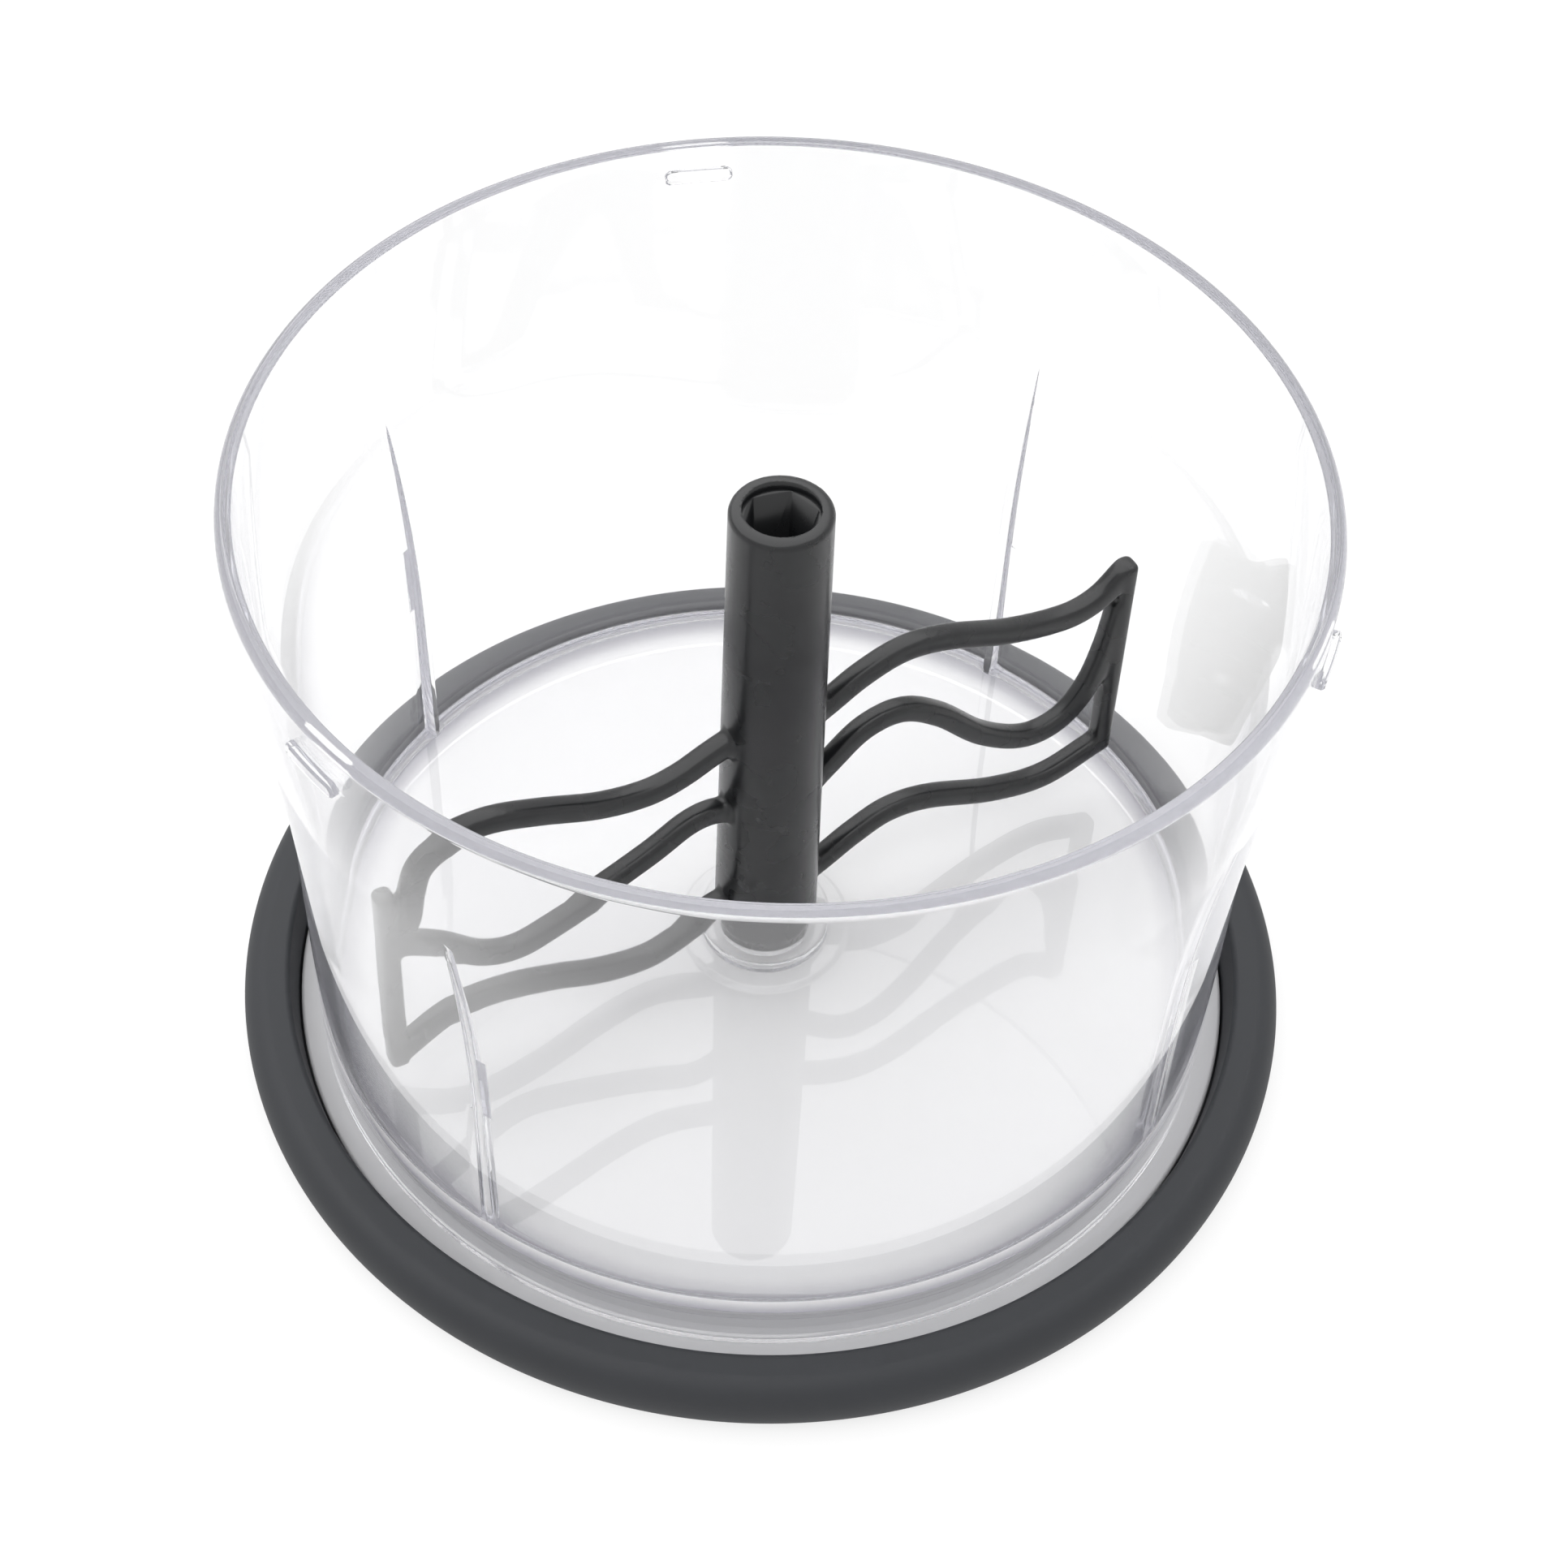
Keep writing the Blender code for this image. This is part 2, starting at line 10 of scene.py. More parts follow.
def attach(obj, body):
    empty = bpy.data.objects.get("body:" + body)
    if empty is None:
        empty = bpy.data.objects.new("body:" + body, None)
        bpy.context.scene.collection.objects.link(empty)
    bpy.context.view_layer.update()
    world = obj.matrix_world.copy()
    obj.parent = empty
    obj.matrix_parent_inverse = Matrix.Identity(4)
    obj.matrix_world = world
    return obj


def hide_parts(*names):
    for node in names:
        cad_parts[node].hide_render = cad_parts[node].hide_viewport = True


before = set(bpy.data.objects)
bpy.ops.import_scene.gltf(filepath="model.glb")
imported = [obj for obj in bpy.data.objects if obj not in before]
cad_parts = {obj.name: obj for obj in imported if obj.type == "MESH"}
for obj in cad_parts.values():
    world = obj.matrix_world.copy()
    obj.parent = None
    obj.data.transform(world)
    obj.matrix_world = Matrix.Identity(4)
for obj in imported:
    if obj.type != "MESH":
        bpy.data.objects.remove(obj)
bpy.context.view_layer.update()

# Camera: it looks down into the bowl from just above the rim's front, at 49 degrees.
# Place, angles and focal length come from the outlines of rim, ring, shaft and walls.
PICTURE_WIDTH = 1932
FOCAL_LENGTH = 3410
CAMERA_PLACE = Vector((0.0, -0.2367, 0.3117))
LOOK_DOWN = math.radians(48.92)
LOOK_TURN = math.radians(0.43)
LOOK_ROLL = math.radians(-2.75)
NEAREST = 0.01

ahead = Vector((
    math.sin(LOOK_TURN) * math.cos(LOOK_DOWN),
    math.cos(LOOK_TURN) * math.cos(LOOK_DOWN),
    -math.sin(LOOK_DOWN),
))
level = Vector((math.cos(LOOK_TURN), -math.sin(LOOK_TURN), 0.0))
down = ahead.cross(level)
right = level * math.cos(LOOK_ROLL) + down * math.sin(LOOK_ROLL)
up = level * math.sin(LOOK_ROLL) - down * math.cos(LOOK_ROLL)
camera_data = bpy.data.cameras.new("camera")
camera_data.sensor_fit = "HORIZONTAL"
camera_data.lens = camera_data.sensor_width * FOCAL_LENGTH / PICTURE_WIDTH
camera_data.clip_start = NEAREST
camera = bpy.data.objects.new("camera", camera_data)
turn = Matrix((right, up, -ahead)).transposed()
camera.matrix_world = Matrix.Translation(CAMERA_PLACE) @ turn.to_4x4()
bpy.context.scene.collection.objects.link(camera)
bpy.context.scene.camera = camera
bpy.context.scene.view_settings.view_transform = "Standard"

# Studio: a matt white table in a plain white room, with one large soft box overhead.
# The camera, gloss and clear plastic see the room as white, and the table keeps the object's shadow.
MM = 0.001
TABLE_WIDTH = 8.0
TABLE_DROP = 0.02
TABLE_COLOUR = "#FCFCFC"
TABLE_GLOW = 0.75
TABLE_FADE_START = 0.25
TABLE_FADE_END = 0.9
TABLE_SPECK = 0.8
TABLE_SPECK_HEIGHT = 0.02
ROOM_LIGHT = 0.80
SOFT_BOX_WIDTH = 3.2
SOFT_BOX_PLACE = Vector((-0.35, 0.30, 1.5))
SOFT_BOX_POWER = 40.0
WHITE_RAYS = ("Is Camera Ray", "Is Glossy Ray", "Is Transmission Ray")
LIGHT_BOUNCES = 24


def linear(colour):
    """An sRGB hex colour as linear red, green, blue and alpha."""
    values = [int(colour[place:place + 2], 16) / 255.0 for place in (1, 3, 5)]
    return [v / 12.92 if v <= 0.04045 else ((v + 0.055) / 1.055) ** 2.4 for v in values] + [1.0]


def add_node(tree, kind, inputs, **settings):
    """A node with its settings, and each input either set or linked from an output."""
    made = tree.nodes.new(kind)
    for name, value in settings.items():
        setattr(made, name, value)
    for name, value in inputs.items():
        if isinstance(value, bpy.types.NodeSocket):
            tree.links.new(value, made.inputs[name])
        else:
            made.inputs[name].default_value = value
    return made


def white_rays(tree):
    """1 for the rays that see the plain white room, 0 for those that only carry light."""
    path = add_node(tree, "ShaderNodeLightPath", {})
    seen = path.outputs[WHITE_RAYS[0]]
    for name in WHITE_RAYS[1:]:
        seen = add_node(
            tree, "ShaderNodeMath", {0: seen, 1: path.outputs[name]}, operation="MAXIMUM"
        ).outputs[0]
    # A ray that has met a matt surface carries light, also where it then runs through clear plastic.
    direct = add_node(
        tree, "ShaderNodeMath", {0: path.outputs["Diffuse Depth"], 1: 0.5}, operation="LESS_THAN"
    )
    return add_node(tree, "ShaderNodeMath", {0: seen, 1: direct.outputs[0]}, operation="MULTIPLY").outputs[0]


def empty_material(name):
    """A material with no nodes yet."""
    made = bpy.data.materials.new(name)
    made.use_nodes = True
    made.node_tree.nodes.clear()
    return made


def finished(name, body, made_of, sharp=35.0):
    """The bmesh as an object at the origin, smooth but for edges sharper than so many degrees."""
    mesh = bpy.data.meshes.new(name)
    body.to_mesh(mesh)
    body.free()
    mesh.shade_smooth()
    mesh.set_sharp_from_angle(angle=math.radians(sharp))
    mesh.materials.append(made_of)
    made = bpy.data.objects.new(name, mesh)
    bpy.context.scene.collection.objects.link(made)
    return made


# Painted matt board: an even white with no gloss, which goes over into the plain room further off.
table_white = empty_material("table_matt_white")
tree = table_white.node_tree
place = add_node(tree, "ShaderNodeTexCoord", {}).outputs["Object"]
speck = add_node(tree, "ShaderNodeTexNoise", {"Vector": place, "Scale": 1 / (TABLE_SPECK * MM)})
bump = add_node(tree, "ShaderNodeBump", {
    "Height": speck.outputs["Fac"], "Strength": 0.05, "Distance": TABLE_SPECK_HEIGHT * MM,
})
matt = add_node(
    tree, "ShaderNodeBsdfDiffuse", {"Color": linear(TABLE_COLOUR), "Normal": bump.outputs["Normal"]}
)
glow = add_node(tree, "ShaderNodeEmission", {"Color": (1, 1, 1, 1), "Strength": 1.0})
away = add_node(tree, "ShaderNodeVectorMath", {0: place}, operation="LENGTH")
plain = add_node(tree, "ShaderNodeMapRange", {
    "Value": away.outputs["Value"], "From Min": TABLE_FADE_START, "From Max": TABLE_FADE_END,
    "To Min": TABLE_GLOW, "To Max": 1.0,
}, interpolation_type="SMOOTHSTEP")
share = add_node(
    tree, "ShaderNodeMath", {0: white_rays(tree), 1: plain.outputs["Result"]}, operation="MULTIPLY"
)
both = add_node(tree, "ShaderNodeMixShader", {0: share.outputs[0], 1: matt.outputs[0], 2: glow.outputs[0]})
add_node(tree, "ShaderNodeOutputMaterial", {"Surface": both.outputs[0]})

body = bmesh.new()
bmesh.ops.create_grid(body, x_segments=2, y_segments=2, size=TABLE_WIDTH / 2)
bmesh.ops.translate(body, verts=body.verts[:], vec=(0, 0, -TABLE_DROP * MM))
finished("table", body, table_white)

room = bpy.data.worlds.new("white_room")
room.use_nodes = True
bpy.context.scene.world = room
tree = room.node_tree
tree.nodes.clear()
shown = add_node(tree, "ShaderNodeBackground", {"Color": (1, 1, 1, 1), "Strength": 1.0})
light = add_node(tree, "ShaderNodeBackground", {"Color": (1, 1, 1, 1), "Strength": ROOM_LIGHT})
both = add_node(tree, "ShaderNodeMixShader", {0: white_rays(tree), 1: light.outputs[0], 2: shown.outputs[0]})
add_node(tree, "ShaderNodeOutputWorld", {"Surface": both.outputs[0]})

lamp = bpy.data.lights.new("soft_box", "AREA")
lamp.size = SOFT_BOX_WIDTH
lamp.energy = SOFT_BOX_POWER
soft_box = bpy.data.objects.new("soft_box", lamp)
soft_box.location = SOFT_BOX_PLACE
soft_box.rotation_euler = SOFT_BOX_PLACE.to_track_quat("Z", "Y").to_euler()
bpy.context.scene.collection.objects.link(soft_box)
# Light runs a long way inside the clear wall before it comes out at the rim and the ribs.
for kind in ("max_bounces", "transmission_bounces", "glossy_bounces", "transparent_max_bounces"):
    setattr(bpy.context.scene.cycles, kind, LIGHT_BOUNCES)

# Non-slip ring: a soft rubber ring moulded round the disc's edge, with a rolled side and flat top.
# The rubber is matt, with the fine even grain of an eroded mould, and it grips the disc under a lip.
SEAT_GAP = 0.3
RIM_RADIUS = 65.0
RING_WIDTH = 6.4
RING_HEIGHT = 8.0
RING_LID_GAP = 0.3
RING_ROLL_HEIGHT = 3.6
RING_FOOT_INSET = 1.8
RING_CROWN = 3.6
RING_TOP_EDGE = 0.7
RING_LIP_WIDTH = 3.4
RING_LIP_THICKNESS = 0.9
RING_DRAFT = 0.9
DISC_THICKNESS = 1.9
BASE_TOP = RING_LIP_THICKNESS + SEAT_GAP + DISC_THICKNESS
RING_INNER = RIM_RADIUS + RING_LID_GAP
POCKET_RADIUS = RING_INNER - RING_DRAFT
RING_LIP_EDGE = 0.3
POCKET_EDGE = 0.2
ROUND_STEPS = 256
FILLET_SEGMENTS = 6
RUBBER_GREY = "#212327"
RUBBER_WORN_GREY = "#25272B"
RUBBER_GRAIN = 0.22
RUBBER_GRAIN_HEIGHT = 0.03
RUBBER_CLOUD = 14.0


def arc(centre, across, upright, start, end, steps=12):
    """Outline points round a corner: a quarter of an ellipse, from one angle to the other."""
    points = []
    for step in range(steps + 1):
        angle = math.radians(start + (end - start) * step / steps)
        points.append((centre[0] + across * math.cos(angle), centre[1] + upright * math.sin(angle), 0))
    return points


def turned(outline, steps):
    """A body turned about Z from an outline of radius, height and the round on each corner, in mm."""
    body = bmesh.new()
    corners = [body.verts.new((radius * MM, 0.0, height * MM)) for radius, height, _ in outline]
    body.faces.new(corners)
    for corner, (_, _, fillet) in zip(corners, outline):
        if fillet:
            bmesh.ops.bevel(
                body, geom=[corner], offset=fillet * MM, offset_type="OFFSET", affect="VERTICES",
                segments=FILLET_SEGMENTS, profile=0.5, material=-1,
            )
    bmesh.ops.delete(body, geom=body.faces[:], context="FACES_ONLY")
    on_axis = [edge for edge in body.edges if max(vert.co.x for vert in edge.verts) < 1e-7]
    bmesh.ops.delete(body, geom=on_axis, context="EDGES")
    bmesh.ops.spin(
        body, geom=body.verts[:] + body.edges[:], axis=(0, 0, 1), cent=(0, 0, 0), dvec=(0, 0, 0),
        angle=2 * math.pi, steps=steps, use_merge=True,
    )
    bmesh.ops.remove_doubles(body, verts=body.verts[:], dist=1e-6)
    bmesh.ops.recalc_face_normals(body, faces=body.faces[:])
    return body


def even_normals(piece):
    """Flat faces stay flat up to their rounded edges."""
    step = piece.modifiers.new("even_normals", "WEIGHTED_NORMAL")
    step.mode = "FACE_AREA_WITH_ANGLE"
    step.keep_sharp = True


# Thermoplastic rubber moulded in an eroded tool: a soft, even dark grey with only a wide, dull sheen.
# The grain is a little coarser than the real one, so that it shows.
rubber = empty_material("moulded_soft_rubber")
tree = rubber.node_tree
place = add_node(tree, "ShaderNodeTexCoord", {}).outputs["Object"]
grain = add_node(
    tree, "ShaderNodeTexNoise", {"Vector": place, "Scale": 1 / (RUBBER_GRAIN * MM), "Detail": 3.0}
)
cloud = add_node(
    tree, "ShaderNodeTexNoise", {"Vector": place, "Scale": 1 / (RUBBER_CLOUD * MM), "Detail": 2.0}
)
shade = add_node(tree, "ShaderNodeValToRGB", {"Fac": cloud.outputs["Fac"]})
shade.color_ramp.elements[0].position = 0.3
shade.color_ramp.elements[0].color = linear(RUBBER_GREY)
shade.color_ramp.elements[1].position = 0.7
shade.color_ramp.elements[1].color = linear(RUBBER_WORN_GREY)
rough = add_node(
    tree, "ShaderNodeMapRange", {"Value": cloud.outputs["Fac"], "To Min": 0.58, "To Max": 0.68}
)
bump = add_node(tree, "ShaderNodeBump", {
    "Height": grain.outputs["Fac"], "Strength": 0.35, "Distance": RUBBER_GRAIN_HEIGHT * MM,
})
shader = add_node(tree, "ShaderNodeBsdfPrincipled", {
    "Base Color": shade.outputs["Color"], "Roughness": rough.outputs["Result"],
    "Normal": bump.outputs["Normal"], "IOR": 1.5,
})
add_node(tree, "ShaderNodeOutputMaterial", {"Surface": shader.outputs[0]})

outer = RING_INNER + RING_WIDTH
outline = [(POCKET_RADIUS - RING_LIP_WIDTH, 0.0, RING_LIP_EDGE)]
outline += arc((outer - RING_FOOT_INSET, RING_ROLL_HEIGHT), RING_FOOT_INSET, RING_ROLL_HEIGHT, -90, 0)
outline += arc(
    (outer - RING_CROWN, RING_ROLL_HEIGHT), RING_CROWN, RING_HEIGHT - RING_ROLL_HEIGHT, 0, 90
)[1:]
outline += [
    (RING_INNER, RING_HEIGHT, RING_TOP_EDGE),
    (POCKET_RADIUS, BASE_TOP, POCKET_EDGE),
    (POCKET_RADIUS, RING_LIP_THICKNESS, POCKET_EDGE),
    (POCKET_RADIUS - RING_LIP_WIDTH, RING_LIP_THICKNESS, RING_LIP_EDGE),
]
ring = finished("ring_moulding", turned(outline, ROUND_STEPS), rubber)
even_normals(ring)
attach(ring, "base")
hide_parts("non_slip_ring")

# Base disc: a thin disc of pale polypropylene that closes the ring's middle and carries the bowl.
# It is injection moulded with a satin face, and shows only through the clear floor.
DISC_EDGE = 0.5
# Painted shade: the disc's pale grey is darkened for the shade it lies in under the bowl's floor and inside
# the ring.
DISC_PAINTED_SHADE_GREY = "#AEAEB0"
DISC_GRAIN = 0.3
DISC_GRAIN_HEIGHT = 0.02

# Polypropylene moulded in a blasted tool: pale grey, with a broad satin sheen over a very fine grain. Its
# grey is darkened as painted shade, for the shade under the bowl's floor and beside the ring.
satin = empty_material("moulded_satin_polypropylene")
tree = satin.node_tree
place = add_node(tree, "ShaderNodeTexCoord", {}).outputs["Object"]
grain = add_node(
    tree, "ShaderNodeTexNoise", {"Vector": place, "Scale": 1 / (DISC_GRAIN * MM), "Detail": 2.0}
)
bump = add_node(tree, "ShaderNodeBump", {
    "Height": grain.outputs["Fac"], "Strength": 0.2, "Distance": DISC_GRAIN_HEIGHT * MM,
})
rough = add_node(
    tree, "ShaderNodeMapRange", {"Value": grain.outputs["Fac"], "To Min": 0.42, "To Max": 0.5}
)
shader = add_node(tree, "ShaderNodeBsdfPrincipled", {
    "Base Color": linear(DISC_PAINTED_SHADE_GREY), "Roughness": rough.outputs["Result"],
    "Normal": bump.outputs["Normal"], "IOR": 1.49,
})
add_node(tree, "ShaderNodeOutputMaterial", {"Surface": shader.outputs[0]})

disc_radius = POCKET_RADIUS - SEAT_GAP
disc_bottom = BASE_TOP - DISC_THICKNESS
outline = [
    (0.0, disc_bottom, 0),
    (disc_radius, disc_bottom, DISC_EDGE),
    (disc_radius, BASE_TOP, DISC_EDGE),
    (0.0, BASE_TOP, 0),
]
disc = finished("disc_moulding", turned(outline, ROUND_STEPS), satin)
even_normals(disc)
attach(disc, "base")
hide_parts("base_disc")

# Bowl: one moulding of clear styrene acrylonitrile, 2 mm thick, with a raised floor on a skirt.
# A cup in the floor takes the paddle's foot, and a hub under it holds the pin. It stands on the disc.
WALL = 2.0
RIM_HEIGHT = 95.0
RIM_ROUND_ACROSS = 1.1
RIM_ROUND_HIGH = 1.6
RIM_STEP_WIDTH = 0.85
RIM_STEP_DEPTH = 0.6
RIM_STEP_LEAN = 0.15
RIM_STEP_ROOT = 0.12
RIM_TOP_EDGE = 0.02
RIM_INNER_EDGE = 0.3
RIM_FLARE = 3.6
BAND_HEIGHT = 4.0
TAPER_HEIGHT = 53.0
TAPER_TURN = 0.61
TAPER_STEPS = 54
TAPER_DROP_INSIDE = 1.0
FLOOR_TOP = 11.6
FLOOR_THICKNESS = 2.0
FLOOR_CORNER = 1.6
UNDER_CORNER = 0.4
SKIRT_ROUND = 0.3
TURNING_GAP = 0.3
FOOT_RADIUS = 6.2
FLANGE_RADIUS = 11.2
FLANGE_HEIGHT = 0.8
FLANGE_EDGE = 0.3
CUP_WALL = 2.3
CUP_HEIGHT = 2.8
CUP_EDGE = 0.5
HUB_WALL = 2.3
HUB_LENGTH = 4.6
HUB_END_THICKNESS = 1.2
HUB_EDGE = 0.4
HUB_ROOT = 0.5
BORE_EDGE = 0.3
INNER_ROOT = 0.2
PIN_RADIUS = 2.2
CLEAR_TINT = (0.87, 0.87, 0.89, 1.0)
CLEAR_DENSITY = 4.0
CLEAR_SHADOW = (0.99, 0.99, 0.995, 1.0)
CLEAR_FLOW = 16.0
CLEAR_FLOW_HEIGHT = 0.15
CLEAR_WIPE = 3.0
HAZE_SHARE = 0.02
HAZE_WHITE = "#E6E6EE"
GUIDED_BOUNCES = 5.0
# Colour of the painted glow that stands in for the light leaving the wall at rim, ribs and edges.
PAINTED_EDGE_GLOW = "#FCFCFF"
FROSTED_WHITE = "#EEEEEE"
# Painted shade: the grey that the floor's underside takes towards the wall, and the width of that band.
FROSTED_PAINTED_SHADE = "#A3A2AA"
PAINTED_SHADE_MARGIN = 5.0
FROSTED_SHARE = 0.85
FROSTED_REACH = 0.05
SKIRT_RADIUS = RIM_RADIUS - RIM_FLARE
SKIRT_BOTTOM = BASE_TOP + SEAT_GAP
FLOOR_BOTTOM = FLOOR_TOP - FLOOR_THICKNESS
HUB_BOTTOM = FLOOR_BOTTOM - HUB_LENGTH


def joined(target, other, operation):
    """The target after a Boolean with the other object, which is removed."""
    step = target.modifiers.new(operation, "BOOLEAN")
    step.operation = operation
    step.solver = "EXACT"
    step.object = other
    bpy.context.view_layer.update()
    evaluated = target.evaluated_get(bpy.context.evaluated_depsgraph_get())
    before = target.data
    target.data = bpy.data.meshes.new_from_object(evaluated)
    target.data.name = before.name
    target.modifiers.remove(step)
    bpy.data.meshes.remove(before)
    bpy.data.objects.remove(other, do_unlink=True)


# Polished SAN: clear and glossy, with a slight flow of the melt and traces of wiping in its gloss.
clear = empty_material("moulded_clear_san")
tree = clear.node_tree
place = add_node(tree, "ShaderNodeTexCoord", {}).outputs["Object"]
flow = add_node(
    tree, "ShaderNodeTexNoise", {"Vector": place, "Scale": 1 / (CLEAR_FLOW * MM), "Detail": 1.0}
)
bump = add_node(tree, "ShaderNodeBump", {
    "Height": flow.outputs["Fac"], "Strength": 0.05, "Distance": CLEAR_FLOW_HEIGHT * MM,
})
wiped = add_node(
    tree, "ShaderNodeTexNoise", {"Vector": place, "Scale": 1 / (CLEAR_WIPE * MM), "Detail": 4.0}
)
rough = add_node(
    tree, "ShaderNodeMapRange", {"Value": wiped.outputs["Fac"], "To Min": 0.005, "To Max": 0.03}
)
shader = add_node(tree, "ShaderNodeBsdfPrincipled", {
    "Base Color": (1, 1, 1, 1), "Roughness": rough.outputs["Result"], "IOR": 1.57,
    "Transmission Weight": 1.0, "Normal": bump.outputs["Normal"],
})
# Light runs along inside the wall and leaves it as a pale violet glow at rim, ribs and edges. A slight haze
# scatters a little of it, and the glow itself is painted: past so many bounces a ray inside the plastic meets
# a white matt surface.
cloudy = add_node(tree, "ShaderNodeBsdfTranslucent", {"Color": linear(HAZE_WHITE)})
both = add_node(tree, "ShaderNodeMixShader", {0: HAZE_SHARE, 1: shader.outputs[0], 2: cloudy.outputs[0]})
# Painted glow: a white matt surface that rays meet after so many bounces inside the clear plastic.
painted_edge_glow = add_node(tree, "ShaderNodeBsdfDiffuse", {"Color": linear(PAINTED_EDGE_GLOW)})
path = add_node(tree, "ShaderNodeLightPath", {})
deep = add_node(
    tree, "ShaderNodeMath", {0: path.outputs["Ray Depth"], 1: GUIDED_BOUNCES}, operation="GREATER_THAN"
)
both = add_node(
    tree, "ShaderNodeMixShader", {0: deep.outputs[0], 1: both.outputs[0], 2: painted_edge_glow.outputs[0]}
)
# The floor's underside is textured, so that it scatters light. Its grey band where it meets the wall is
# painted shade, for the shade near the wall.
height = add_node(tree, "ShaderNodeSeparateXYZ", {"Vector": place}).outputs["Z"]
under = add_node(
    tree, "ShaderNodeMath", {0: height, 1: FLOOR_BOTTOM * MM, 2: FROSTED_REACH * MM}, operation="COMPARE"
)
frosted = add_node(tree, "ShaderNodeMath", {0: under.outputs[0], 1: FROSTED_SHARE}, operation="MULTIPLY")
flat = add_node(tree, "ShaderNodeVectorMath", {0: place, 1: (1, 1, 0)}, operation="MULTIPLY")
flat = add_node(tree, "ShaderNodeVectorMath", {0: flat.outputs[0]}, operation="LENGTH")
edge = (SKIRT_RADIUS - WALL) * MM
# Painted shade: the floor's underside turns grey over the last few mm towards the wall.
near = add_node(tree, "ShaderNodeMapRange", {
    "Value": flat.outputs["Value"], "From Min": edge - PAINTED_SHADE_MARGIN * MM, "From Max": edge,
}, interpolation_type="SMOOTHSTEP")
shade = add_node(tree, "ShaderNodeValToRGB", {"Fac": near.outputs["Result"]})
shade.color_ramp.elements[0].color = linear(FROSTED_WHITE)
shade.color_ramp.elements[1].color = linear(FROSTED_PAINTED_SHADE)
white = add_node(tree, "ShaderNodeBsdfDiffuse", {"Color": shade.outputs["Color"]})
both = add_node(
    tree, "ShaderNodeMixShader", {0: frosted.outputs[0], 1: both.outputs[0], 2: white.outputs[0]}
)
through = add_node(tree, "ShaderNodeBsdfTransparent", {"Color": CLEAR_SHADOW})
both = add_node(
    tree, "ShaderNodeMixShader", {0: path.outputs["Is Shadow Ray"], 1: both.outputs[0], 2: through.outputs[0]}
)
tint = add_node(tree, "ShaderNodeVolumeAbsorption", {"Color": CLEAR_TINT, "Density": CLEAR_DENSITY})
add_node(tree, "ShaderNodeOutputMaterial", {"Surface": both.outputs[0], "Volume": tint.outputs[0]})

taper_bottom = RIM_HEIGHT - BAND_HEIGHT - TAPER_HEIGHT
outer_wall = []
for step in range(TAPER_STEPS + 1):
    share = step / TAPER_STEPS
    if share < TAPER_TURN:
        flare = share ** 2 / TAPER_TURN
    else:
        flare = 1 - (1 - share) ** 2 / (1 - TAPER_TURN)
    outer_wall.append((SKIRT_RADIUS + RIM_FLARE * flare, taper_bottom + TAPER_HEIGHT * share))
skirt_inner = SKIRT_RADIUS - WALL
rim_inner = RIM_RADIUS - WALL
hole = PIN_RADIUS + SEAT_GAP
cup_inner = FOOT_RADIUS + TURNING_GAP
cup_outer = cup_inner + CUP_WALL
step_height = RIM_HEIGHT - RIM_STEP_DEPTH
outline = [
    (0.0, HUB_BOTTOM, 0),
    (hole + HUB_WALL, HUB_BOTTOM, HUB_EDGE),
    (hole + HUB_WALL, FLOOR_BOTTOM, HUB_ROOT),
    (skirt_inner, FLOOR_BOTTOM, UNDER_CORNER),
    (skirt_inner, SKIRT_BOTTOM, SKIRT_ROUND),
    (SKIRT_RADIUS, SKIRT_BOTTOM, SKIRT_ROUND),
]
outline += [(radius, height, 0) for radius, height in outer_wall]
outline += [
    *arc(
        (RIM_RADIUS - RIM_ROUND_ACROSS, RIM_HEIGHT - RIM_ROUND_HIGH), RIM_ROUND_ACROSS, RIM_ROUND_HIGH, 0, 90
    ),
    (rim_inner + RIM_STEP_WIDTH, RIM_HEIGHT, RIM_TOP_EDGE),
    (rim_inner + RIM_STEP_WIDTH - RIM_STEP_LEAN, step_height, RIM_STEP_ROOT),
    (rim_inner, step_height, RIM_INNER_EDGE),
]
outline += [(radius - WALL, height - TAPER_DROP_INSIDE, 0) for radius, height in reversed(outer_wall)]
outline += [
    (skirt_inner, FLOOR_TOP, FLOOR_CORNER),
    (FLANGE_RADIUS + FLANGE_HEIGHT / 2, FLOOR_TOP, INNER_ROOT),
    (FLANGE_RADIUS, FLOOR_TOP + FLANGE_HEIGHT, FLANGE_EDGE),
    (cup_outer, FLOOR_TOP + FLANGE_HEIGHT, INNER_ROOT),
    (cup_outer, FLOOR_TOP + CUP_HEIGHT, CUP_EDGE),
    (cup_inner, FLOOR_TOP + CUP_HEIGHT, CUP_EDGE),
    (cup_inner, FLOOR_TOP, BORE_EDGE),
    (hole, FLOOR_TOP, BORE_EDGE),
    (hole, HUB_BOTTOM + HUB_END_THICKNESS, BORE_EDGE),
    (0.0, HUB_BOTTOM + HUB_END_THICKNESS, 0),
]
bowl = finished("bowl_moulding", turned(outline, ROUND_STEPS), clear)

# Ribs of the bowl: four upright ribs moulded up the inside, which stir the food against the paddle.
# Each is drawn up the inner wall in sections that narrow, and its tip sinks into the wall.
RIB_AZIMUTHS = (57.0, 147.0, 237.0, 327.0)
RIB_HEIGHT = 64.4
RIB_PROUD = 1.2
RIB_FOOT_WIDTH = 2.0
RIB_TOP_WIDTH = 0.9
RIB_ROOT_DEPTH = 0.9
RIB_TIP_SUNK = 0.3
RIB_ROUND = 0.7
RIB_SECTIONS = 16


def inner_wall(height):
    """Inner radius of the bowl's wall at a height."""
    height += TAPER_DROP_INSIDE
    for (low_radius, low), (high_radius, high) in zip(outer_wall, outer_wall[1:]):
        if height <= low:
            return low_radius - WALL
        if height <= high:
            return low_radius + (high_radius - low_radius) * (height - low) / (high - low) - WALL
    return RIM_RADIUS - WALL


